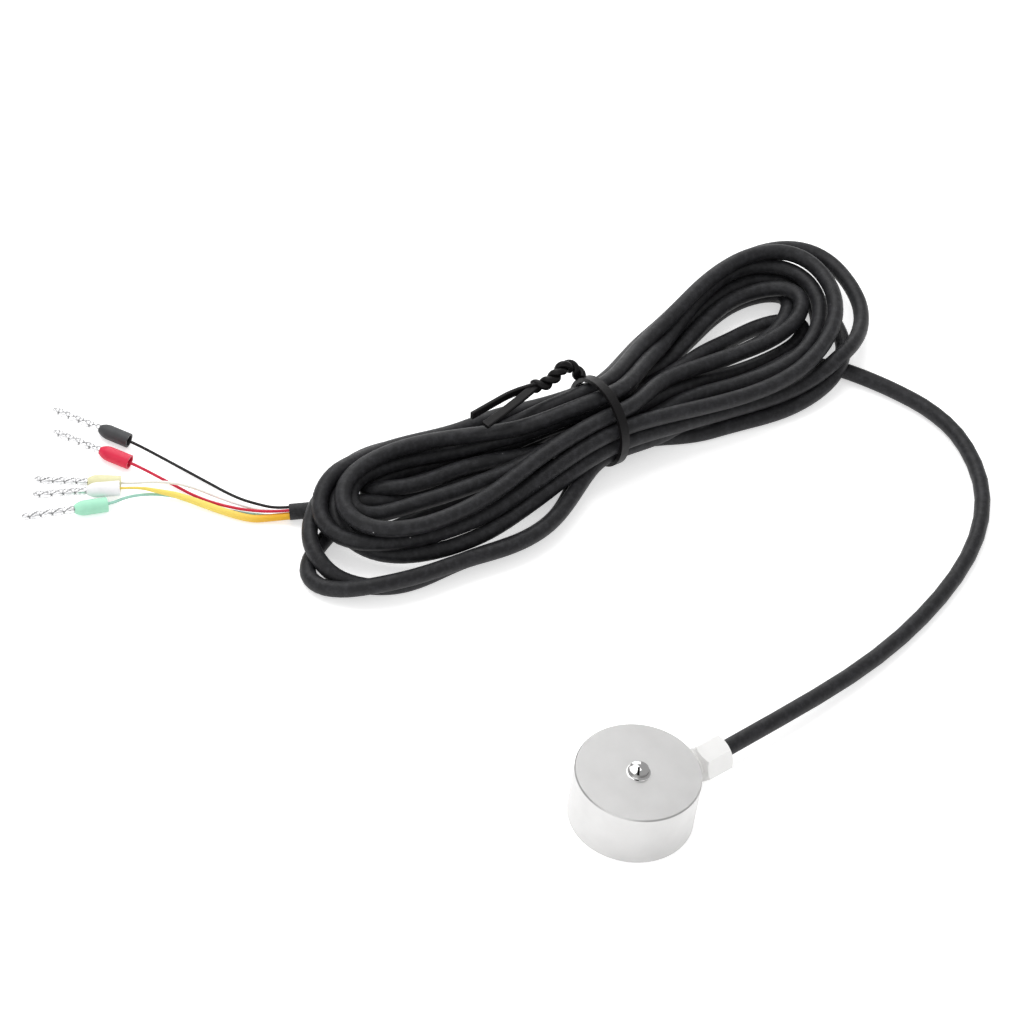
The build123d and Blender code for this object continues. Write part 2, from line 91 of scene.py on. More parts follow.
class NodeTree:
    """Small helper that adds and links the nodes of one material."""

    def __init__(self, name: str) -> None:
        """Starts an empty material with a Principled shader on its output."""
        self.material = bpy.data.materials.new(name)
        self.material.use_nodes = True
        self.nodes = self.material.node_tree.nodes
        self.links = self.material.node_tree.links
        self.shader = self.nodes["Principled BSDF"]
        self.place = self.add("ShaderNodeTexCoord").outputs["Object"]

    def add(self, kind: str, **values) -> bpy.types.Node:
        """Adds a node and sets attributes on it."""
        node = self.nodes.new(kind)
        for key, value in values.items():
            setattr(node, key, value)
        return node

    def noise(self, scale: float, detail: float = 4.0, rough: float = 0.55) -> Socket:
        """Noise over the object's own coordinates.

        Args:
            scale: how fine it is, per metre.
            detail: how many finer layers it has.
            rough: how much they count.

        Returns:
            The socket of its value, from 0 to 1.
        """
        node = self.add("ShaderNodeTexNoise")
        for key, value in (("Scale", scale), ("Detail", detail), ("Roughness", rough)):
            node.inputs[key].default_value = value
        self.links.new(self.place, node.inputs["Vector"])
        return node.outputs["Fac"]

    def feed(self, socket: Socket, value: Feed) -> None:
        """Links a socket to another one, or sets it to a number, a place or a colour."""
        if isinstance(value, Socket):
            self.links.new(value, socket)
        else:
            socket.default_value = (*value, 1.0) if socket.type == "RGBA" else value

    def math(self, operation: str, *values: Feed, kind: str = "ShaderNodeMath") -> bpy.types.Node:
        """Adds one step of arithmetic and feeds its inputs in order."""
        node = self.add(kind, operation=operation)
        for socket, value in zip(node.inputs, values):
            self.feed(socket, value)
        return node

    def ramp(self, source: Socket, stops: tuple, shape: Ramp = Ramp.LINEAR) -> Socket:
        """Colour ramp over a value.

        Args:
            source: socket that drives the ramp.
            stops: (position, grey level or RGB) pairs.
            shape: how the ramp moves between stops.

        Returns:
            The ramp's colour socket.
        """
        node = self.add("ShaderNodeValToRGB")
        node.color_ramp.interpolation = shape.value
        elements = node.color_ramp.elements
        while len(elements) < len(stops):
            elements.new(0.5)
        for element, (position, level) in zip(elements, stops):
            element.position = position
            rgb = (level, level, level) if isinstance(level, (int, float)) else level
            element.color = (*rgb, 1.0)
        self.links.new(source, node.inputs["Fac"])
        return node.outputs["Color"]

    def mix(self, share: Feed, first: Feed, second: Feed) -> Socket:
        """Mixes two colours by a share; a share of 0 gives the first."""
        node = self.add("ShaderNodeMix", data_type="RGBA")
        for number, value in zip(COLOUR_MIX_INPUTS, (share, first, second)):
            self.feed(node.inputs[number], value)
        return node.outputs[COLOUR_MIX_OUTPUT]

    def bump(self, height: Socket, strength: float, distance: float) -> None:
        """Puts a bump on the shader.

        Args:
            height: socket of its height, from 0 to 1.
            strength: how much it shows.
            distance: depth in metres.
        """
        node = self.add("ShaderNodeBump")
        node.inputs["Strength"].default_value = strength
        node.inputs["Distance"].default_value = distance
        self.links.new(height, node.inputs["Height"])
        self.links.new(node.outputs["Normal"], self.shader.inputs["Normal"])

    def set(self, **values: Feed) -> None:
        """Feeds inputs of the shader, written with underscores for spaces."""
        for key, value in values.items():
            self.feed(self.shader.inputs[key.replace("_", " ")], value)


@dataclass(frozen=True)
class Finish:
    """Coloured plastic or rubber, and what every finish has. Scales are per metre, depths in mm."""

    name: str
    rgb: Triple
    roughness: float = 0.45
    spread: float = 0.15
    spread_scale: float = 700.0
    specular: float = 0.5
    metallic: float = 0.0
    mottle: float = 0.06
    mottle_scale: float = 260.0
    grain_scale: float = 900.0
    grain_depth: float = 0.02
    grain_strength: float = 0.4

    def material(self) -> bpy.types.Material:
        """Builds the node material."""
        tree = NodeTree(self.name)
        tree.set(Base_Color=self.colour(tree), Roughness=self.shine(tree), Metallic=self.metallic,
                 Specular_IOR_Level=self.specular)
        tree.bump(tree.noise(self.grain_scale), self.grain_strength, self.grain_depth * MM)
        return tree.material

    def colour(self, tree: NodeTree) -> Socket:
        """Its colour, darker and lighter by a share in places."""
        darker, lighter = toned(self.rgb, 1 - self.mottle), toned(self.rgb, 1 + self.mottle)
        return tree.ramp(tree.noise(self.mottle_scale), ((0.35, darker), (0.65, lighter)))

    def shine(self, tree: NodeTree) -> Socket:
        """Its roughness, less and more by a share in places."""
        low, high = self.roughness * (1 - self.spread), self.roughness * (1 + self.spread)
        return tree.ramp(tree.noise(self.spread_scale), ((0.3, low), (0.7, high)))


@dataclass(frozen=True)
class MetalFinish(Finish):
    """Bare metal: it can have a mirror round the part's axis, and painted shade where a tool pressed it."""

    roughness: float = 0.3
    spread: float = 0.1
    spread_scale: float = 500.0
    metallic: float = 1.0
    mottle: float = 0.04
    mottle_scale: float = 180.0
    grain_scale: float = 2600.0
    grain_depth: float = 0.01
    grain_strength: float = 0.5
    # Painted shade: the mesh attribute that marks the crimp's grooves and waists, and how dark the colour
    # goes there.
    pressed: str = ""
    groove_shade: float = 0.22
    polished_radius: float = 0.0
    polished_roughness: float = 0.07

    def colour(self, tree: NodeTree) -> Socket:
        """Its colour, tarnished in places, and darkened by painted shade where the mesh's attribute says
        pressed.
        """
        darker = toned(self.rgb, 1 - self.mottle)
        colour = tree.ramp(tree.noise(self.mottle_scale), ((0.35, darker), (0.6, self.rgb)))
        if self.pressed:
            # Painted shade in the pressed grooves and waists, darker the deeper they are.
            depth = tree.add("ShaderNodeAttribute", attribute_name=self.pressed).outputs["Fac"]
            share = tree.ramp(depth, ((0.35, 0.0), (0.95, 1.0)))
            colour = tree.mix(share, colour, toned(self.rgb, self.groove_shade))
        return colour

    def shine(self, tree: NodeTree) -> Socket:
        """Uneven roughness, smooth inside the polished radius round the part's upright axis."""
        uneven = super().shine(tree)
        if not self.polished_radius:
            return uneven
        flat = tree.math("MULTIPLY", tree.place, (1.0, 1.0, 0.0), kind=VECTOR_MATH)
        distance = tree.math("LENGTH", flat.outputs[0], kind=VECTOR_MATH)
        inside = tree.math("LESS_THAN", distance.outputs["Value"], self.polished_radius * MM)
        return tree.mix(inside.outputs[0], uneven, (self.polished_roughness,) * 3)


@dataclass(frozen=True)
class JacketFinish(Finish):
    """Black PVC of the cable: a soft sheen, faint scuffs and a few specks of pale lint."""

    name: str = "cable_jacket"
    rgb: Triple = (0.0125, 0.0125, 0.0140)
    roughness: float = 0.5
    spread: float = 0.1
    spread_scale: float = 400.0
    specular: float = 0.26
    grain_scale: float = 1500.0
    grain_depth: float = 0.03
    grain_strength: float = 0.45
    wear: float = 2.6
    lint_rgb: Triple = (0.6, 0.6, 0.6)
    lint_scale: float = 230.0
    lint_share: float = 0.045
    lint_patch_scale: float = 60.0

    def colour(self, tree: NodeTree) -> Socket:
        """Black with scuffs, and specks in some patches."""
        scuffs = tree.ramp(tree.noise(700.0, 8.0, 0.7), ((0.45, 0.0), (0.72, 1.0)))
        base = tree.mix(scuffs, self.rgb, toned(self.rgb, self.wear))
        cells = tree.add("ShaderNodeTexVoronoi")
        tree.feed(cells.inputs["Scale"], self.lint_scale)
        tree.feed(cells.inputs["Vector"], tree.place)
        speck = tree.ramp(cells.outputs["Distance"], ((0.0, 1.0), (self.lint_share, 0.0)))
        patch = tree.ramp(tree.noise(self.lint_patch_scale, 2.0), ((0.53, 0.0), (0.60, 1.0)))
        return tree.mix(tree.mix(patch, (0.0, 0.0, 0.0), speck), base, self.lint_rgb)


@dataclass(frozen=True)
class SleeveFinish(Finish):
    """Thin yellow sleeve of the shield, darker and warmer where it leaves the jacket."""

    name: str = "sleeve_yellow"
    rgb: Triple = (0.98, 0.77, 0.16)
    roughness: float = 0.42
    specular: float = 0.3
    mottle: float = 0.05
    warm_rgb: Triple = (0.93, 0.50, 0.03)
    warm_place: Triple = (-8.1, 99.8, 1.9)
    warm_reach: float = 17.0

    def colour(self, tree: NodeTree) -> Socket:
        """Its own colour, which the warm one joins near the jacket."""
        start = tuple(value * MM for value in self.warm_place)
        away = tree.math("DISTANCE", tree.place, start, kind=VECTOR_MATH)
        share = tree.math("DIVIDE", away.outputs["Value"], self.warm_reach * MM)
        cool = tree.ramp(share.outputs[0], ((0.1, 0.0), (1.0, 1.0)), Ramp.EASE)
        mottled = tree.mix(tree.noise(self.mottle_scale), self.rgb, toned(self.rgb, 1 - self.mottle))
        return tree.mix(cool, self.warm_rgb, mottled)


STEEL = MetalFinish("blasted_steel", (0.60, 0.596, 0.592), roughness=0.36, polished_radius=2.35)
BRIGHT = MetalFinish("bright_nickel", (0.96, 0.955, 0.945), roughness=0.24, grain_depth=0.004, metallic=0.15)
# Tin plate of the pins, with painted shade in the crimp grooves and waists.
TIN = MetalFinish("tin_plate", (0.84, 0.84, 0.85), roughness=0.3, grain_scale=1400.0, grain_depth=0.03,
                  mottle=0.32, mottle_scale=1300.0, pressed="pressed")
BRASS = MetalFinish("brass", (0.78, 0.60, 0.30), roughness=0.3)
RUBBER = Finish("seal_rubber", (0.012, 0.012, 0.013), roughness=0.6, specular=0.25)
FOIL = Finish("gauge_foil", (0.45, 0.24, 0.06), roughness=0.35)
BOARD = Finish("board", (0.02, 0.16, 0.07), roughness=0.4)
CHIP = Finish("chip", (0.03, 0.03, 0.035), roughness=0.5)
TIE_VINYL = Finish("tie_vinyl", (0.006, 0.0055, 0.006), roughness=0.42, specular=0.2,
                   grain_scale=500.0, grain_depth=0.05)
WIRE_BLACK = Finish("insulation_black", (0.008, 0.008, 0.009), roughness=0.4, specular=0.3)
WIRE_RED = Finish("insulation_red", (0.62, 0.010, 0.050), roughness=0.35, specular=0.35)
WIRE_WHITE = Finish("insulation_white", (0.93, 0.92, 0.91), roughness=0.4)
WIRE_GREEN = Finish("insulation_green", (0.37, 0.68, 0.57), roughness=0.4, specular=0.35)
SLEEVE = SleeveFinish()
COLLAR_BLACK = Finish("collar_black", (0.055, 0.057, 0.060), roughness=0.5, specular=0.35)
COLLAR_RED = Finish("collar_red", (0.73, 0.022, 0.070), roughness=0.38, specular=0.35)
COLLAR_YELLOW = Finish("collar_yellow", (0.765, 0.74, 0.45), roughness=0.42, specular=0.35)
COLLAR_WHITE = Finish("collar_white", (0.93, 0.92, 0.94), roughness=0.42, specular=0.35)
COLLAR_GREEN = Finish("collar_green", (0.40, 0.79, 0.58), roughness=0.42, specular=0.35)
JACKET = JacketFinish()


# Camera and studio


@dataclass
class PhotoCamera:
    """The photograph's camera, fitted to the puck's two rims and the lie of the object."""

    focal_px: float = 5000.0
    frame_px: float = 1024.0
    sensor_mm: float = 36.0
    pitch_deg: float = 45.59205
    roll_deg: float = 9.20278
    yaw_deg: float = 45.5
    place_mm: Triple = (-480.977, -427.577, 733.932)
    clip: Pair = (0.01, 10.0)

    def axes(self) -> Matrix:
        """Camera axes in the row frame.

        Returns:
            A 3x3 matrix whose columns are the camera's right, up and backward directions.
        """
        pitch, roll, yaw = (math.radians(a) for a in (self.pitch_deg, self.roll_deg, self.yaw_deg))
        right = Vector((1, 0, 0))
        forward = Vector((0, math.cos(pitch), -math.sin(pitch)))
        up = Vector((0, math.sin(pitch), math.cos(pitch)))
        across = math.cos(roll) * right + math.sin(roll) * up
        upright = -math.sin(roll) * right + math.cos(roll) * up
        turn = Matrix.Rotation(-yaw, 3, "Z")
        return Matrix((turn @ across, turn @ upright, turn @ -forward)).transposed()

    def build(self) -> Piece:
        """Makes the camera and sets it as the scene's."""
        data = bpy.data.cameras.new("photo_camera")
        data.sensor_width = self.sensor_mm
        data.lens = self.focal_px / self.frame_px * self.sensor_mm
        data.clip_start, data.clip_end = self.clip
        camera = placed("photo_camera", data)
        camera.matrix_world = Matrix.Translation(Vector(self.place_mm) * MM) @ self.axes().to_4x4()
        bpy.context.scene.camera = camera
        return camera


@dataclass
class Studio:
    """Plain white ground, a large soft light above and weaker ones from the sides. Metres and watts."""

    floor_size: float = 4.0
    floor_rgb: Triple = (0.93, 0.93, 0.93)
    floor_mottle: float = 0.005
    floor_glow: float = 0.5
    key_power: float = 6.2
    key_size: float = 0.9
    key_place: Triple = (0.10, 0.55, 0.85)
    fill_power: float = 2.0
    fill_place: Triple = (-0.75, -0.25, 0.55)
    back_power: float = 1.2
    back_place: Triple = (0.60, 0.80, 0.30)
    aim: Triple = (0.04, 0.07, 0.0)
    sky: float = 0.60
    sky_in_reflections: float = 0.52
    sky_in_view: float = 1.0
    flag_size: Pair = (0.16, 1.1)
    flag_place: Triple = (0.10, 0.10, 0.80)
    flag_turn_deg: float = -44.5

    def build(self) -> list[Piece]:
        """Makes the floor, the lights and the white surroundings."""
        scene = bpy.context.scene
        scene.view_settings.view_transform = "Standard"
        floor = self._floor()
        lights = [
            self._light("key", self.key_power, self.key_size, self.key_place),
            self._light("fill", self.fill_power, self.key_size, self.fill_place),
            self._light("back", self.back_power, self.key_size / 2, self.back_place),
        ]
        flag = self._flag()
        self._sky(scene)
        return [floor, flag, *lights]

    @staticmethod
    def _sheet(name: str, width: float, length: float, down: bool = False) -> Piece:
        """Flat sheet round the origin.

        Args:
            name: its name.
            width: its side along X.
            length: its side along Y.
            down: True for a sheet that faces down.

        Returns:
            The sheet, without a material.
        """
        x, y = width / 2, length / 2
        face = (0, 3, 2, 1) if down else (0, 1, 2, 3)
        data = bpy.data.meshes.new(name)
        data.from_pydata([(-x, -y, 0), (x, -y, 0), (x, y, 0), (-x, y, 0)], [], [face])
        return placed(name, data)

    def _floor(self) -> Piece:
        """Ground at the height that the puck stands on, which shines a little where it is seen."""
        floor = self._sheet("ground", self.floor_size, self.floor_size)
        tree = NodeTree("ground_paper")
        darker = toned(self.floor_rgb, 1 - self.floor_mottle)
        rays = tree.add("ShaderNodeLightPath").outputs
        either = tree.math("MAXIMUM", rays["Is Camera Ray"], rays["Is Glossy Ray"])
        seen = tree.math("MULTIPLY", either.outputs[0], self.floor_glow)
        tree.set(
            Base_Color=tree.ramp(tree.noise(3.0), ((0.4, darker), (0.6, self.floor_rgb))),
            Roughness=0.9,
            Specular_IOR_Level=0.0,
            Emission_Color=(1.0, 1.0, 1.0),
            Emission_Strength=seen.outputs[0],
        )
        floor.data.materials.append(tree.material)
        return floor

    def _flag(self) -> Piece:
        """Black strip overhead that only reflections see: the dark line on the polished button."""
        flag = self._sheet("flag", *self.flag_size, down=True)
        flag.location = self.flag_place
        flag.rotation_euler = (0, 0, math.radians(self.flag_turn_deg))
        tree = NodeTree("flag_felt")
        tree.set(Base_Color=tree.ramp(tree.noise(40.0), ((0.4, 0.008), (0.6, 0.012))), Specular_IOR_Level=0.0)
        flag.data.materials.append(tree.material)
        flag.visible_camera = flag.visible_diffuse = flag.visible_shadow = False
        return flag

    def _light(self, name: str, power: float, size: float, place: Triple) -> Piece:
        """Square area light that looks at the middle of the object.

        Args:
            name: its name.
            power: its power.
            size: its side.
            place: where it is.

        Returns:
            The light's object.
        """
        data = bpy.data.lights.new(name, "AREA")
        data.energy = power
        data.size = size
        light = placed(name, data)
        light.location = place
        light.rotation_euler = (Vector(self.aim) - Vector(place)).to_track_quat("-Z", "Y").to_euler()
        return light

    def _sky(self, scene: bpy.types.Scene) -> None:
        """Even white surroundings, dimmer in reflections and pure white where the camera sees them."""
        world = bpy.data.worlds.new("studio")
        scene.world = world
        world.use_nodes = True
        nodes, links = world.node_tree.nodes, world.node_tree.links
        background = nodes["Background"].inputs
        background["Color"].default_value = (1, 1, 1, 1)
        rays = nodes.new("ShaderNodeLightPath").outputs
        glossy, seen = nodes.new("ShaderNodeMapRange"), nodes.new("ShaderNodeMapRange")
        links.new(rays["Is Glossy Ray"], glossy.inputs["Value"])
        glossy.inputs["To Min"].default_value = self.sky
        glossy.inputs["To Max"].default_value = self.sky_in_reflections
        links.new(rays["Is Camera Ray"], seen.inputs["Value"])
        links.new(glossy.outputs["Result"], seen.inputs["To Min"])
        seen.inputs["To Max"].default_value = self.sky_in_view
        links.new(seen.outputs["Result"], background["Strength"])


# The cable's route


def through(points: np.ndarray, steps: int = 12) -> np.ndarray:
    """Smooth line through every point (Catmull-Rom).

    Args:
        points: rows of coordinates.
        steps: points of the line for each stretch between two of them.

    Returns:
        The line's points.
    """
    padded = np.vstack([2 * points[0] - points[1], points, 2 * points[-1] - points[-2]])
    t = (np.arange(steps) / steps)[:, None]
    rows = []
    for p0, p1, p2, p3 in zip(padded, padded[1:], padded[2:], padded[3:]):
        rows.append(0.5 * (2 * p1 + (p2 - p0) * t + (2 * p0 - 5 * p1 + 4 * p2 - p3) * t**2
                           + (3 * p1 - p0 - 3 * p2 + p3) * t**3))
    return np.vstack([*rows, points[-1:]])


def evenly(points: np.ndarray, step: float) -> np.ndarray:
    """The same line with its points at one spacing.

    Args:
        points: the line's points.
        step: the spacing, which is rounded so that the ends stay.

    Returns:
        The new points.
    """
    along = np.r_[0, np.cumsum(np.linalg.norm(np.diff(points, axis=0), axis=1))]
    wanted = np.linspace(0, along[-1], int(round(along[-1] / step)) + 1)
    return np.stack([np.interp(wanted, along, points[:, k]) for k in range(3)], -1)


def line_length(points: np.ndarray) -> float:
    """Length of a line of points."""
    return float(np.linalg.norm(np.diff(points, axis=0), axis=1).sum())


@dataclass(frozen=True)
class Loop:
    """One half-turn of the hank: evenly spread heights above the floor, and the line from above."""

    levels: tuple[float, ...]
    points: tuple[Pair, ...]


LEFT_TOP = Loop((10.8, 10.8), (
    (-18.4, -4.7), (-24.0, -5.8), (-29.8, -7.3), (-35.4, -8.3), (-40.7, -8.9), (-45.6, -8.9), (-50.1, -8.4),
    (-54.2, -7.3), (-57.9, -5.5), (-60.1, -3.4), (-61.4, -0.6), (-61.3, 2.5), (-60.2, 5.4), (-58.2, 7.9),
    (-55.4, 9.6), (-51.5, 11.1), (-46.6, 11.9), (-41.6, 12.0), (-37.2, 11.3), (-33.0, 10.2), (-28.9, 8.9),
    (-25.0, 7.4), (-21.5, 5.4), (-18.0, 3.4)))
LEFT_UNDER_TOP = Loop((8, 5.5), (
    (-20.5, -2.3), (-25.4, -2.0), (-31.8, -1.5), (-38.9, -1.1), (-44.8, -0.2), (-49.6, 0.6), (-53.8, 0.8),
    (-56.7, 1.8), (-57.9, 4.5), (-57.1, 8.0), (-54.9, 10.7), (-51.5, 12.6), (-46.6, 13.3), (-40.9, 12.4),
    (-34.5, 10.8), (-27.6, 9.2), (-21.8, 7.7)))
LEFT_SECOND = Loop((6.9, 6.9), (
    (-19.5, -7.1), (-24.5, -7.8), (-29.9, -8.7), (-35.4, -9.5), (-40.5, -9.3), (-45.3, -9.2), (-49.7, -8.5),
    (-53.8, -7.4), (-57.6, -5.8), (-60.2, -4.2), (-62.8, -2.3), (-64.6, 0.4), (-65.0, 3.8), (-64.3, 7.2),
    (-62.4, 9.6), (-60.4, 11.7), (-57.2, 13.2), (-53.2, 14.3), (-48.7, 14.8), (-44.1, 15.2), (-39.3, 14.9),
    (-34.7, 14.5), (-30.2, 13.8), (-25.8, 12.9), (-21.8, 11.6), (-17.9, 10.2)))
LEFT_THIRD = Loop((4.6, 4.6), (
    (-20.6, -9.3), (-25.7, -9.9), (-31.1, -10.9), (-36.6, -11.9), (-41.6, -11.9), (-46.2, -11.4),
    (-50.5, -10.2), (-54.5, -8.8), (-57.9, -6.6), (-59.9, -4.1), (-61.0, -1.0), (-61.3, 2.6), (-60.5, 6.6),
    (-58.6, 10.0), (-55.7, 12.7), (-51.5, 14.6), (-46.2, 16.1), (-40.6, 16.4), (-34.7, 15.9), (-29.1, 14.9),
    (-22.9, 13.2), (-16.9, 11.2)))
LEFT_LOW = Loop((1.75, 1.75, 5.0, 3.4), (
    (-17.4, -12.7), (-22.6, -14.4), (-28.1, -15.3), (-33.3, -14.9), (-38.1, -14.3), (-43.1, -13.9),
    (-48.1, -14.4), (-53.1, -14.6), (-57.7, -14.2), (-61.7, -13.0), (-65.0, -10.5), (-67.6, -7.8),
    (-69.3, -5.1), (-69.9, -2.3), (-69.6, 0.9), (-68.5, 3.7), (-66.5, 6.2), (-63.4, 8.9), (-59.4, 11.4),
    (-54.7, 13.3), (-49.9, 14.8), (-44.7, 15.5), (-38.5, 15.7), (-31.6, 14.9), (-23.4, 12.4), (-16.6, 8.3)))
LEFT_OUTER = Loop((4.4, 4.4, 1.75, 4.2), (
    (-18.4, -14.2), (-23.6, -16.2), (-29.6, -17.0), (-34.8, -17.1), (-39.3, -16.2), (-44.4, -15.7),
    (-49.2, -15.6), (-53.8, -15.3), (-58.1, -14.5), (-62.1, -13.3), (-65.4, -11.9), (-68.6, -10.6),
    (-71.9, -8.9), (-73.1, -6.8), (-73.4, -4.2), (-72.2, -1.6), (-70.2, 0.3), (-67.3, 2.3), (-63.6, 4.1),
    (-58.9, 5.8), (-53.7, 7.2), (-47.0, 8.1), (-38.7, 7.7), (-29.6, 6.5), (-20.8, 5.0)))
RIGHT_TOP = Loop((10.6, 10.6), (
    (18.5, 12.2), (26.4, 15.7), (34.0, 19.0), (41.8, 22.5), (48.4, 24.5), (54.5, 25.6), (59.8, 25.5),
    (64.1, 24.0), (66.7, 22.0), (68.1, 18.4), (68.3, 14.3), (67.6, 10.3), (66.2, 6.5), (64.5, 3.6),
    (61.6, 0.7), (57.2, -2.9), (51.3, -5.9), (44.7, -8.1), (39.2, -8.8), (34.2, -8.8), (29.3, -8.5),
    (24.7, -7.9), (19.8, -7.5)))
RIGHT_OUTER = Loop((6.2, 6.2), (
    (22.8, 17.1), (30.3, 20.1), (37.5, 23.0), (44.9, 25.9), (51.7, 28.0), (57.8, 29.1), (63.8, 29.1),
    (68.0, 28.3), (71.9, 26.2), (74.6, 22.8), (75.4, 19.0), (75.3, 14.3), (74.6, 10.2), (73.5, 6.0),
    (71.3, 2.4), (68.4, -0.6), (65.1, -3.0), (61.6, -4.9), (57.0, -6.2), (51.0, -7.9), (45.3, -8.6),
    (40.2, -8.7), (35.5, -8.1), (30.7, -7.6), (25.8, -7.2), (20.9, -6.9)))
RIGHT_SECOND = Loop((8.4, 6.6), (
    (24.9, 13.2), (33.3, 17.8), (40.8, 21.4), (47.6, 24.2), (54.0, 25.4), (59.6, 24.8), (63.2, 22.2),
    (65.9, 19.0), (66.2, 15.3), (65.6, 11.2), (63.6, 7.5), (60.4, 4.0), (55.9, 0.5), (50.6, -1.9),
    (45.3, -2.8), (40.1, -2.7), (35.1, -2.4), (30.4, -1.7), (25.6, -1.1), (20.8, -0.5)))
RIGHT_INNER = Loop((4.4, 9.6), (
    (21.6, 10.6), (26.0, 12.3), (31.0, 14.1), (36.2, 16.3), (42.0, 18.7), (47.1, 19.9), (51.4, 20.1),
    (55.6, 19.4), (59.8, 18.4), (62.2, 16.3), (62.8, 13.4), (61.3, 10.6), (58.4, 8.0), (53.7, 5.9),
    (49.2, 4.6), (44.8, 4.0), (39.4, 4.0), (34.2, 4.0), (29.0, 4.2), (23.2, 3.5), (16.6, 1.9)))
RIGHT_CORE = Loop((4.2, 3.2, 1.75, 2.4, 5.5), (
    (23.8, 9.0), (28.2, 9.2), (33.9, 9.9), (40.2, 11.3), (46.5, 12.6), (52.1, 12.9), (57.5, 12.8),
    (61.8, 11.6), (62.0, 8.6), (59.0, 6.0), (54.0, 4.6), (49.0, 4.2), (44.0, 3.9), (38.8, 3.5), (33.0, 3.4),
    (27.5, 3.0), (21.9, 2.0)))
RIGHT_LOW = Loop((1.75, 1.75, 4.7, 1.75), (
    (21.7, 14.5), (29.4, 17.9), (37.0, 21.1), (44.3, 24.0), (51.0, 25.9), (57.1, 27.0), (62.3, 26.6),
    (65.8, 24.8), (68.0, 21.9), (69.0, 18.4), (68.6, 14.3), (67.8, 9.6), (66.6, 5.0), (65.2, 0.9),
    (63.2, -2.8), (60.6, -5.9), (55.2, -8.3), (50.0, -9.9), (45.1, -10.4), (40.2, -10.4), (31.6, -8.7),
    (24.8, -7.2), (18.3, -5.3)))
RIGHT_FLOOR = Loop((1.75, 1.75, 5, 1.75), (
    (26.4, 13.6), (32.7, 15.8), (38.1, 18.2), (44.0, 20.6), (49.3, 22.1), (53.9, 22.5), (58.4, 22.0),
    (61.9, 20.5), (63.3, 18.4), (62.0, 15.4), (58.9, 12.4), (55.3, 9.8), (52.0, 7.9), (49.1, 7.2),
    (45.6, 7.5), (39.8, 8.4), (33.7, 9.1), (27.0, 8.9), (19.6, 7.7)))
RIGHT_MIDDLE = Loop((4.4, 3.8), (
    (21.9, 11.9), (28.8, 15.8), (35.1, 18.4), (41.7, 20.9), (48.4, 22.9), (54.4, 23.8), (59.7, 23.6),
    (63.2, 21.9), (65.6, 19.2), (66.5, 16.0), (66.1, 12.5), (64.6, 9.1), (61.7, 5.4), (57.7, 2.3),
    (53.0, 0.0), (47.7, -1.0), (42.5, -0.9), (37.2, -0.2), (32.5, 0.6), (27.8, 1.3), (23.0, 1.9),
    (17.9, 2.2)))
LEFT_FLOOR = Loop((1.75, 1.75), (
    (-16.5, 0.6), (-21.1, 0.3), (-29.0, 0.1), (-37.8, 0.6), (-44.0, 0.4), (-50.0, 0.0), (-55.1, 0.8),
    (-57.2, 4.1), (-57.1, 9.2), (-54.7, 13.7), (-50.1, 16.4), (-44.3, 16.9), (-38.4, 15.4), (-27.1, 13.7),
    (-16.5, 11.0)))
LEFT_CORE = Loop((4.8, 4.4), (
    (-22.6, 3.5), (-28.0, 4.9), (-35.1, 5.5), (-41.1, 5.8), (-45.8, 6.1), (-49.8, 6.3), (-51.9, 7.8),
    (-51.8, 10.7), (-49.7, 12.5), (-46.4, 12.7), (-41.7, 11.6), (-36.1, 10.0), (-29.6, 8.6), (-17.3, 6.7)))


@dataclass(frozen=True)
class Turn:
    """One turn of the hank: its lane in the tie going left, a half-turn, its lane going right, a half-turn.

    A lane is a distance from the bundle's centre and an angle in degrees, seen along the hank.
    """

    near: Pair
    left: Loop
    far: Pair
    right: Loop


@dataclass(frozen=True)
class Settling:
    """How crossing strands come to rest on each other. Reaches are in diameters, moves are for one pass."""

    passes: int = 400
    search_every: int = 10
    search_reach: float = 1.5
    least_along: float = 1.6
    clearance: float = 1.005
    push: float = 0.3
    pull_back: float = 0.04
    free_in_sight: float = 0.85
    smoothing: float = 0.35
    sinking: float = 0.01
    floor_gap: float = 0.03


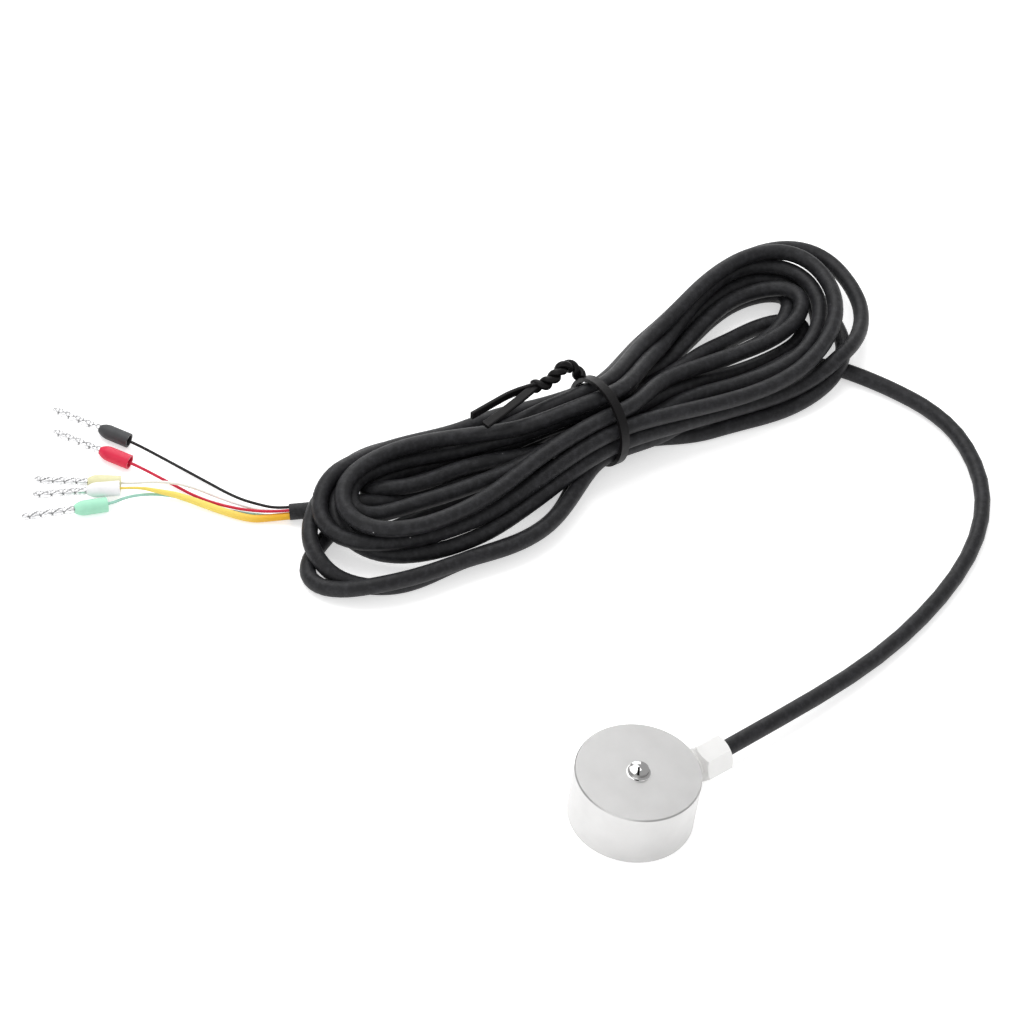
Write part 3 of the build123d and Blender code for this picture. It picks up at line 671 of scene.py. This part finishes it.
@dataclass
class HankRoute:
    """Centre line of the whole cable, from the gland through the hank to the cut end. Millimetres."""

    diameter: float = 3.4
    origin: Pair = (56.8, 80.2)
    turn_deg: float = -5.0
    waist_diameter: float = 17.6
    waist_z: float = 9.7
    waist_reach: float = 2.5
    straight_reach: float = 4.5
    outer_ring: float = 7.1
    inner_ring: float = 3.6
    ease_length: float = 30.0
    last_lane: Pair = (3.6, 250)
    step: float = 2.4
    sight: Triple = (0.455, 0.53, -0.714)
    settling: Settling = Settling()
    run: tuple[Triple, ...] = (
        (7.0, 0, 4.25), (34.0, 0, 4.25), (64.0, 1.9, 2.4), (87.0, 7.0, 1.75), (106.0, 14.8, 1.75),
        (119.0, 26.0, 1.75), (125.2, 40.0, 1.75), (125.0, 50.5, 1.75))
    entry: tuple[Triple, ...] = (
        (67.2, -16.0, 1.75), (64.4, -10.9, 1.75), (61.8, -7.1, 1.75), (59.8, -3.8, 1.75), (57.0, -1.2, 1.75),
        (53.0, -0.6, 1.75), (47.4, -1.3, 1.75), (40.2, -2.4, 1.75), (32.0, -3.4, 1.75), (24.0, -4.6, 2.2),
        (17.0, -5.5, 3.6), (10.0, -6.0, 5.4))
    held_start: int = 4
    held_end: int = 3
    leaving: tuple[Triple, ...] = (
        (-10, 0.4, 6.6), (-22.5, 2.6, 5.4), (-36.4, 4.2, 4.8), (-46.0, 6.4, 4.4), (-53.5, 8.4, 3.9))
    tail: tuple[Triple, ...] = ((-1.3, 95.3, 3.2), (-8.1, 99.8, 1.9))

    def turns(self) -> list[Turn]:
        """The hank's turns in the order in which the cable runs through them."""
        outer, inner = self.outer_ring, self.inner_ring
        return [
            Turn((outer, 209), LEFT_OUTER, (outer, 330), RIGHT_LOW),
            Turn((outer, 265), LEFT_FLOOR, (outer, 300), RIGHT_FLOOR),
            Turn((outer, 237), LEFT_LOW, (outer, 55), RIGHT_TOP),
            Turn((outer, 154), LEFT_SECOND, (outer, 28), RIGHT_OUTER),
            Turn((outer, 182), LEFT_THIRD, (outer, 0), RIGHT_INNER),
            Turn((outer, 126), LEFT_TOP, (outer, 88), RIGHT_SECOND),
            Turn((inner, 190), LEFT_CORE, (inner, 350), RIGHT_CORE),
            Turn((inner, 130), LEFT_UNDER_TOP, (inner, 60), RIGHT_MIDDLE),
        ]

    def in_tie(self, lane: Pair) -> Pair:
        """Place of a strand in the tie's round bundle: across and up."""
        radius, angle = lane
        return radius * math.cos(math.radians(angle)), self.waist_z + radius * math.sin(math.radians(angle))

    def half_turn(self, loop: Loop, start_z: float, end_z: float) -> list[Triple]:
        """A loop's points with heights that ease from the tie to the loop's own level and back.

        Args:
            loop: the half-turn.
            start_z: height at which it leaves the tie.
            end_z: height at which it comes back.

        Returns:
            Its points in the hank's frame.
        """
        rows = []
        last = len(loop.points) - 1
        for number, (u, v) in enumerate(loop.points):
            along = number / last
            share = min(1.0, abs(u) / self.ease_length)
            share = share * share * (3 - 2 * share)
            tie_z = start_z if along < 0.5 else end_z
            level = float(np.interp(along, np.linspace(0, 1, len(loop.levels)), loop.levels))
            rows.append((u, v, tie_z + (level - tie_z) * share))
        return rows

    def through_tie(self, lane: Pair, going: int) -> list[Triple]:
        """Points that carry a strand straight through the tie; going is -1 to the left and 1 to the right."""
        across, up = self.in_tie(lane)
        return [(going * place * self.straight_reach, across, up) for place in (-1, 0, 1)]

    def wound(self) -> np.ndarray:
        """Points of all turns in the hank's own frame, before the strands are pressed apart."""
        rows = list(self.entry)
        turns = self.turns()
        for number, turn in enumerate(turns):
            near_z, far_z = self.in_tie(turn.near)[1], self.in_tie(turn.far)[1]
            next_lane = turns[number + 1].near if number + 1 < len(turns) else self.last_lane
            rows += self.through_tie(turn.near, -1)
            rows += self.half_turn(turn.left, near_z, far_z)
            rows += self.through_tie(turn.far, 1)
            rows += self.half_turn(turn.right, far_z, self.in_tie(next_lane)[1])
        rows += self.through_tie(self.last_lane, -1)
        rows += self.leaving
        return np.array(rows, float)

    def to_row(self, points: np.ndarray) -> np.ndarray:
        """Hank frame to row frame."""
        angle = math.radians(self.turn_deg)
        u, v = points[:, 0], points[:, 1]
        x = self.origin[0] + u * math.cos(angle) - v * math.sin(angle)
        y = self.origin[1] + u * math.sin(angle) + v * math.cos(angle)
        return np.stack([x, y, points[:, 2]], -1)

    def to_hank(self, points: np.ndarray) -> np.ndarray:
        """Row frame to hank frame."""
        angle = math.radians(self.turn_deg)
        x, y = points[:, 0] - self.origin[0], points[:, 1] - self.origin[1]
        return np.stack([x * math.cos(angle) + y * math.sin(angle),
                         -x * math.sin(angle) + y * math.cos(angle), points[:, 2]], -1)

    def pressed_apart(self, line: np.ndarray, held: np.ndarray) -> np.ndarray:
        """Lets strands that cross push each other apart until they only touch.

        Args:
            line: evenly spaced points in the hank frame.
            held: True for the points that stay where they are.

        Returns:
            The settled points: above the floor, and inside the tie where they pass it.
        """
        rest = self.settling
        lowest = self.diameter / 2 + rest.floor_gap
        spacing = float(np.linalg.norm(np.diff(line, axis=0), axis=1).mean())
        apart = int(math.ceil(self.diameter * rest.least_along / spacing))
        settled = line.copy()
        sight = np.array(self.sight)
        for number in range(rest.passes):
            if number % rest.search_every == 0:
                squares = ((settled[:, None, :] - settled[None, :, :]) ** 2).sum(-1)
                near = squares < (self.diameter * rest.search_reach) ** 2
                first, second = np.where(np.triu(near, apart))
            gap = settled[first] - settled[second]
            distance = np.linalg.norm(gap, axis=1) + 1e-9
            overlap = np.clip(self.diameter * rest.clearance - distance, 0, None)
            push = rest.push * gap / distance[:, None] * overlap[:, None]
            back = line - settled
            move = rest.pull_back * (back - rest.free_in_sight * (back @ sight)[:, None] * sight)
            np.add.at(move, first, push)
            np.add.at(move, second, -push)
            bend = self._bend(settled)
            move -= rest.smoothing * self._bend(bend)
            move[:, 2] -= rest.sinking
            move[held] = 0
            settled += move
            self._keep_in_tie(settled)
            settled[:, 2] = np.maximum(settled[:, 2], lowest)
            settled[held] = line[held]
        return settled

    @staticmethod
    def _bend(rows: np.ndarray) -> np.ndarray:
        """How far each row is from the middle of its neighbours; the two ends count as 0."""
        bend = np.zeros_like(rows)
        bend[1:-1] = (rows[:-2] + rows[2:]) / 2 - rows[1:-1]
        return bend

    def _keep_in_tie(self, settled: np.ndarray) -> None:
        """Pulls strands back inside the bundle where the tie goes round it."""
        limit = (self.waist_diameter - self.diameter) / 2
        across, up = settled[:, 1], settled[:, 2] - self.waist_z
        out = np.hypot(across, up)
        loose = (np.abs(settled[:, 0]) < self.waist_reach) & (out > limit)
        share = limit / out[loose]
        settled[loose, 1] = across[loose] * share
        settled[loose, 2] = self.waist_z + up[loose] * share

    def control_points(self) -> np.ndarray:
        """Control points of the cable's one spline, in the row frame: run, hank and tail."""
        line = evenly(through(np.vstack([self.to_row(self.wound()), np.array(self.tail)])), self.step)
        held = np.zeros(len(line), bool)
        held[: self.held_start] = True
        held[-self.held_end:] = True
        settled = self.to_row(self.pressed_apart(self.to_hank(line), held))
        return np.vstack([np.array(self.run, float), settled[:-1:2], settled[-1:]])


# Cords


@dataclass
class CordLine:
    """One open spline with a round section."""

    name: str
    points: np.ndarray
    diameter: float
    resolution: int = 3
    ring: int = 5
    widths: list[float] = field(default_factory=list)

    def build(self, material: bpy.types.Material) -> Piece:
        """Makes the spline object.

        Args:
            material: finish of its surface.

        Returns:
            The curve object, in place in the row frame.
        """
        data = bpy.data.curves.new(self.name, "CURVE")
        data.dimensions = "3D"
        data.bevel_depth = self.diameter / 2 * MM
        data.bevel_resolution = self.ring
        data.use_fill_caps = True
        spline = data.splines.new("NURBS")
        spline.points.add(len(self.points) - 1)
        for number, (point, place) in enumerate(zip(spline.points, self.points)):
            point.co = (*(float(value) * MM for value in place), 1.0)
            point.radius = self.widths[number] if self.widths else 1.0
        spline.order_u = 3
        spline.use_endpoint_u = True
        spline.resolution_u = self.resolution
        data.materials.append(material)
        return placed(self.name, data)


@dataclass
class Cable:
    """The jacketed cable: free run, hank and cut end in one spline."""

    route: HankRoute = field(default_factory=HankRoute)
    real_length: float = 2600.0
    gland_mouth: Triple = (22.7, 0.0, 4.25)

    def build(self) -> Piece:
        points = self.route.control_points()
        LOG.info("cable: %d control points, %.0f mm", len(points), line_length(points))
        cord = CordLine("cable", points, self.route.diameter).build(JACKET.material())
        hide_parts("cable_run", "cable_hank", "cable_tail")
        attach(cord, ROOT)
        return cord


@dataclass(frozen=True)
class Ferrule:
    """Place of one ferrule: centre of its collar's back, heading and pitch."""

    back: Triple
    heading: float
    pitch: float
    funnel: float = 3.0

    def ahead(self) -> Vector:
        """Direction from the collar towards the pin's tip."""
        level = math.cos(math.radians(self.pitch))
        heading = math.radians(self.heading)
        rise = math.sin(math.radians(self.pitch))
        return Vector((level * math.cos(heading), level * math.sin(heading), rise))

    def seat(self) -> Vector:
        """Point inside the collar where the core meets the pin."""
        return Vector(self.back) + self.ahead() * self.funnel


@dataclass(frozen=True)
class Lead:
    """One insulated core from the jacket's end to its ferrule."""

    name: str
    node: str
    finish: Finish
    slot: str
    place: Pair
    free: tuple[Triple, ...]
    ferrule: Ferrule
    ferrule_name: str
    length: float = 40.0
    diameter: float = 0.62
    approach: float = 0.8


@dataclass
class LeadSet:
    """The four cores and the sleeved shield at the cable's cut end."""

    tail_root: Triple = (-1.3, 95.3, 3.2)
    tail_end: Triple = (-8.1, 99.8, 1.9)
    wire_start: float = 2.6
    sleeve_start: float = 4.0
    sleeve_length: float = 39.0
    sleeve_diameter: float = 1.6
    drain_diameter: float = 0.5
    sleeve_place: Pair = (0.75, -0.35)
    sleeve_points: tuple[Triple, ...] = (
        (-15.6, 103.2, 0.95), (-19.8, 109.6, 0.95), (-24.0, 115.7, 1.7), (-27.9, 119.3, 2.3))
    shield: Ferrule = Ferrule((-34.1, 122.8, 3.4), 146.0, -8.0)
    sleeve_widths: tuple[float, ...] = (1.0, 1.0, 1.0, 1.0, 0.92, 0.6, 0.4)
    drain_run: float = 2.4
    drain_approach: float = 0.8
    smoothness: int = 10
    ring: int = 4

    def leads(self) -> list[Lead]:
        """The cores, as the photograph shows them."""
        return [
            Lead("lead_black", "wire_black", WIRE_BLACK, "insulation_black", (-0.35, 1.1),
                 ((-12.6, 105.0, 2.2), (-14.4, 109.8, 1.0), (-16.6, 117.4, 0.55), (-20.0, 126.6, 0.8)),
                 Ferrule((-23.6, 134.0, 1.75), 115.6, -1.0), "black", 41.0),
            Lead("lead_red", "wire_red", WIRE_RED, "insulation_red", (0.35, 0.85),
                 ((-13.9, 103.6, 2.1), (-16.9, 107.9, 1.05), (-20.5, 113.7, 0.6), (-23.1, 121.0, 0.6)),
                 Ferrule((-27.1, 128.9, 1.75), 116.4, -1.0), "red", 38.6),
            Lead("lead_white", "wire_white", WIRE_WHITE, "insulation_white", (-0.25, 0.25),
                 ((-13.0, 104.0, 1.55), (-16.6, 110.6, 0.8), (-20.8, 117.5, 1.5), (-25.4, 121.0, 2.1)),
                 Ferrule((-32.1, 125.0, 1.75), 143.0, -1.0), "yellow", 38.6),
            Lead("lead_green", "wire_green", WIRE_GREEN, "insulation_green", (-0.3, -1.1),
                 ((-14.0, 104.5, 0.4), (-18.6, 109.3, 0.35), (-22.4, 115.1, 0.4), (-27.4, 119.4, 1.0),
                  (-33.2, 121.0, 2.1)),
                 Ferrule((-38.0, 121.7, 1.75), 158.0, -1.0), "green", 41.7),
        ]

    def on_jacket(self, near: float, up: float, ahead: float = 0.0) -> Vector:
        """Point on the jacket's end face, towards the near side and up, or that far ahead of it."""
        out = (Vector(self.tail_end) - Vector(self.tail_root)).normalized()
        side = Vector((0, 0, 1)).cross(out).normalized()
        return Vector(self.tail_end) + near * side + up * out.cross(side) + ahead * out

    def build(self, pins: dict[str, Piece]) -> list[Piece]:
        """Makes the leads, each a curve from the jacket's end into its ferrule's collar.

        Args:
            pins: the crimped pins by the ferrule's name; not used.

        Returns:
            The leads' curve objects.
        """
        made = []
        for lead in self.leads():
            ahead = lead.ferrule.ahead()
            points = [self.on_jacket(*lead.place), self.on_jacket(*lead.place, self.wire_start),
                      *lead.free, Vector(lead.ferrule.back) - ahead * lead.approach, lead.ferrule.seat()]
            made.append(self._declare(lead, points))
        ahead = self.shield.ahead()
        end, before = Vector(self.sleeve_points[-1]), Vector(self.sleeve_points[-2])
        out = (end - before).normalized()
        points = [self.on_jacket(*self.sleeve_place), self.on_jacket(*self.sleeve_place, self.sleeve_start),
                  *self.sleeve_points, end + out * self.drain_run,
                  Vector(self.shield.back) - ahead * self.drain_approach, self.shield.seat()]
        thin = self.drain_diameter / self.sleeve_diameter
        widths = [*self.sleeve_widths, thin, thin]
        sleeve = Lead("lead_shield", "shield_lead", SLEEVE, "sleeve_yellow", self.sleeve_place, (),
                      self.shield, "white", self.sleeve_length, self.sleeve_diameter)
        made.append(self._declare(sleeve, points, widths))
        return made

    def _declare(self, lead: Lead, points: list,
                 widths: list[float] | None = None) -> Piece:
        """Args:
            lead: what it is.
            points: its control points.
            widths: share of its diameter at each point, where that changes.

        Returns:
            The lead's curve object.
        """
        places = np.array([tuple(point) for point in points], float)
        line = CordLine(lead.name, places, lead.diameter, self.smoothness, self.ring, widths or [])
        cord = line.build(lead.finish.material())
        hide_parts(lead.node)
        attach(cord, ROOT)
        LOG.info("%s: %.1f mm", lead.name, lead.length)
        return cord

    def ferrules(self) -> dict[str, Ferrule]:
        """All five ferrules by name."""
        return {lead.ferrule_name: lead.ferrule for lead in self.leads()} | {"white": self.shield}


# Crimped pins


class ShapeTree:
    """Small helper that adds and links the nodes of one geometry tree."""

    def __init__(self, name: str, sizes: dict[str, float]) -> None:
        """Starts a tree with one named input for each size."""
        self.tree = bpy.data.node_groups.new(name, "GeometryNodeTree")
        self.keys = {}
        for label, value in sizes.items():
            kind = "NodeSocketInt" if isinstance(value, int) else "NodeSocketFloat"
            socket = self.tree.interface.new_socket(label, in_out="INPUT", socket_type=kind)
            socket.default_value = value
            self.keys[label] = socket.identifier
        self.tree.interface.new_socket("Geometry", in_out="OUTPUT", socket_type="NodeSocketGeometry")
        self.sizes = self.tree.nodes.new("NodeGroupInput").outputs
        self.end = self.tree.nodes.new("NodeGroupOutput")

    def add(self, kind: str, inputs: dict | None = None, **values: str) -> bpy.types.Node:
        """Adds a node.

        Args:
            kind: the node's type.
            inputs: values or sockets for its inputs, by name or number.
            **values: attributes to set on it.

        Returns:
            The node.
        """
        node = self.tree.nodes.new(kind)
        for key, value in values.items():
            setattr(node, key, value)
        for key, value in (inputs or {}).items():
            if isinstance(value, Socket):
                self.tree.links.new(value, node.inputs[key])
            else:
                node.inputs[key].default_value = value
        return node

    def math(self, operation: str, *values: Socket | float) -> Socket:
        """One step of arithmetic on sockets and numbers."""
        return self.add("ShaderNodeMath", dict(enumerate(values)), operation=operation).outputs[0]


@dataclass(frozen=True)
class CrimpedPin:
    """A tinned pin pressed by a crimping tool: square, with crossed grooves and waists. Millimetres."""

    collar_length: float = 6.8
    funnel: float = 3.0
    length: float = 10.8
    width: float = 1.42
    height: float = 1.2
    root_diameter: float = 1.3
    squareness: float = 0.72
    core: float = 0.05
    cells: float = 4.5
    cell_spread: float = 0.12
    cell_noise_scale: float = 900.0
    waist: float = 0.24
    waist_power: float = 7.0
    groove: float = 0.34
    groove_width: float = 0.2
    tip_power: float = 40.0
    tip_narrowing: float = 0.35
    round_sides: int = 36
    rings: int = 150
    seed: int = 7

    def tree(self, material: bpy.types.Material) -> ShapeTree:
        """Builds the geometry tree that makes one pin along +Z from its collar's back.

        Args:
            material: finish of the pin.

        Returns:
            The tree, with an input for each named size.
        """
        shape = ShapeTree("crimped_pin", {
            "Length": self.length * MM, "Width": self.width * MM, "Height": self.height * MM,
            "Cells": self.cells, "Waist": self.waist, "Groove": self.groove, "Sides": self.round_sides,
            "Rings": self.rings, "Seed": self.seed})
        size, step = shape.sizes, shape.math
        times, less = partial(step, "MULTIPLY"), partial(step, "SUBTRACT")
        power, size_of = partial(step, "POWER"), partial(step, "ABSOLUTE")
        blank = shape.add("GeometryNodeMeshCylinder", {
            "Vertices": size["Sides"], "Side Segments": size["Rings"], "Radius": 1.0,
            "Depth": size["Length"]})
        x, y, z = shape.add("ShaderNodeSeparateXYZ", {
            0: shape.add("GeometryNodeInputPosition").outputs[0]}).outputs
        # Round section made nearly square
        largest = step("MAXIMUM", size_of(x), size_of(y))
        outward = step("DIVIDE", 1.0, step("MAXIMUM", largest, self.core))
        squared = step("MULTIPLY_ADD", outward, self.squareness, 1 - self.squareness)
        squared = step("MAXIMUM", squared, step("LESS_THAN", largest, self.core))
        across, upward = times(x, squared), times(y, squared)
        # Place within one bite of the tool: 0 in its middle, 1 at its ends
        drift = step("ADD", times(z, self.cell_noise_scale), size["Seed"])
        uneven = shape.add("ShaderNodeTexNoise", {"W": drift, "Scale": 1.0}, noise_dimensions="1D")
        along = step("ADD", step("DIVIDE", z, size["Length"]), 0.5)
        bites = step("MULTIPLY_ADD", along, size["Cells"], times(uneven.outputs[0], self.cell_spread))
        end_share = size_of(step("MULTIPLY_ADD", step("FRACT", bites), 2.0, -1.0))
        # Crossed grooves on the two flat faces
        off = step("DIVIDE", less(size_of(across), end_share), self.groove_width)
        pressed = step("EXPONENT", times(times(off, off), -1.0))
        flat = power(step("MINIMUM", size_of(upward), 1.0), 2.0)
        lowered = less(1.0, times(times(pressed, flat), size["Groove"]))
        # Waists where two bites meet, and the tip
        pinch = times(power(end_share, self.waist_power), size["Waist"])
        tip = times(power(along, self.tip_power), self.tip_narrowing)
        slim = times(less(1.0, pinch), less(1.0, tip))
        half_width = times(times(size["Width"], 0.5), slim)
        half_height = times(times(size["Height"], 0.5), times(lowered, slim))
        moved = shape.add("ShaderNodeCombineXYZ", {
            0: times(across, half_width), 1: times(upward, half_height),
            2: step("ADD", z, (self.collar_length + self.length / 2) * MM)})
        # Grooves and waists are kept as an attribute for the painted shade in them.
        kept = shape.add("GeometryNodeStoreNamedAttribute", {
            "Geometry": blank.outputs["Mesh"], "Name": TIN.pressed, "Value": step("MAXIMUM", pressed, pinch)},
            data_type="FLOAT", domain="POINT")
        pin = shape.add("GeometryNodeSetPosition", {
            "Geometry": kept.outputs[0], "Position": moved.outputs[0]})
        root_length = (self.collar_length - self.funnel) * MM
        root = shape.add("GeometryNodeMeshCylinder", {
            "Vertices": size["Sides"], "Radius": self.root_diameter / 2 * MM, "Depth": root_length})
        seat = shape.add("GeometryNodeTransform", {
            "Geometry": root.outputs["Mesh"], "Translation": (0, 0, self.funnel * MM + root_length / 2)})
        both = shape.add("GeometryNodeJoinGeometry")
        shape.tree.links.new(seat.outputs[0], both.inputs[0])
        shape.tree.links.new(pin.outputs[0], both.inputs[0])
        whole = shape.add("GeometryNodeRealizeInstances", {"Geometry": both.outputs[0]})
        painted = shape.add("GeometryNodeSetMaterial", {"Geometry": whole.outputs[0], "Material": material})
        shape.tree.links.new(painted.outputs[0], shape.end.inputs[0])
        return shape

    def build(self, ferrules: dict[str, Ferrule]) -> dict[str, Piece]:
        """Makes one pin in each ferrule.

        Args:
            ferrules: the ferrules by name.

        Returns:
            The pins by the same names.
        """
        shape = self.tree(TIN.material())
        made = {}
        for number, (name, ferrule) in enumerate(ferrules.items()):
            holder = placed(f"pin_{name}", bpy.data.meshes.new(f"pin_{name}_blank"))
            modifier = holder.modifiers.new("crimp", "NODES")
            modifier.node_group = shape.tree
            modifier[shape.keys["Seed"]] = self.seed + number
            shaped = holder.evaluated_get(bpy.context.evaluated_depsgraph_get())
            mesh = bpy.data.meshes.new_from_object(shaped)
            holder.modifiers.remove(modifier)
            holder.data = mesh
            mesh.transform(self._pose(ferrule))
            mesh.shade_smooth()
            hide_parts(f"ferrule_pin_{name}")
            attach(holder, ROOT)
            made[name] = holder
        return made

    def _pose(self, ferrule: Ferrule) -> Matrix:
        """Matrix that puts a pin made along +Z into its ferrule."""
        ahead = ferrule.ahead()
        side = ahead.cross(Vector((0, 0, 1))).normalized()
        turned = Matrix((side, side.cross(-ahead), ahead)).transposed()
        return Matrix.Translation(Vector(ferrule.back) * MM) @ turned.to_4x4()


# CAD pieces that show as they are


class FramePieces:
    """Gives each CAD node that shows as it is its finish."""

    FINISHES = {
        "sensor_body": STEEL, "base_cover": STEEL, "gland_body": BRIGHT, "gland_nut": BRIGHT,
        "gland_seal": RUBBER, "gland_washer": BRASS, "terminal_board": BOARD, "trim_resistors": CHIP,
        "gauge_jumpers": BRASS, "inner_lead_red": WIRE_RED, "inner_lead_white": WIRE_WHITE,
        "inner_lead_green": WIRE_GREEN, "inner_lead_black": WIRE_BLACK, "twist_tie": TIE_VINYL,
        "ferrule_collar_black": COLLAR_BLACK, "ferrule_collar_red": COLLAR_RED,
        "ferrule_collar_yellow": COLLAR_YELLOW, "ferrule_collar_white": COLLAR_WHITE,
        "ferrule_collar_green": COLLAR_GREEN,
    }

    def build(self) -> int:
        """Paints the nodes and returns how many."""
        made = {}
        count = 0
        for name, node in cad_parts.items():
            finish = self.FINISHES.get(name)
            if name.startswith("strain_gauge"):
                finish = FOIL
            if finish is None:
                continue
            if finish.name not in made:
                made[finish.name] = finish.material()
            node.data.materials.clear()
            node.data.materials.append(made[finish.name])
            count += 1
        return count


def main() -> None:
    """Builds the scene piece by piece."""
    PhotoCamera().build()
    Studio().build()
    LOG.info("camera and studio ready")
    Cable().build()
    leads = LeadSet()
    pins = CrimpedPin().build(leads.ferrules())
    LOG.info("%d crimped pins", len(pins))
    LOG.info("%d leads", len(leads.build(pins)))
    LOG.info("%d CAD nodes painted", FramePieces().build())


if __name__ == "__main__":
    main()
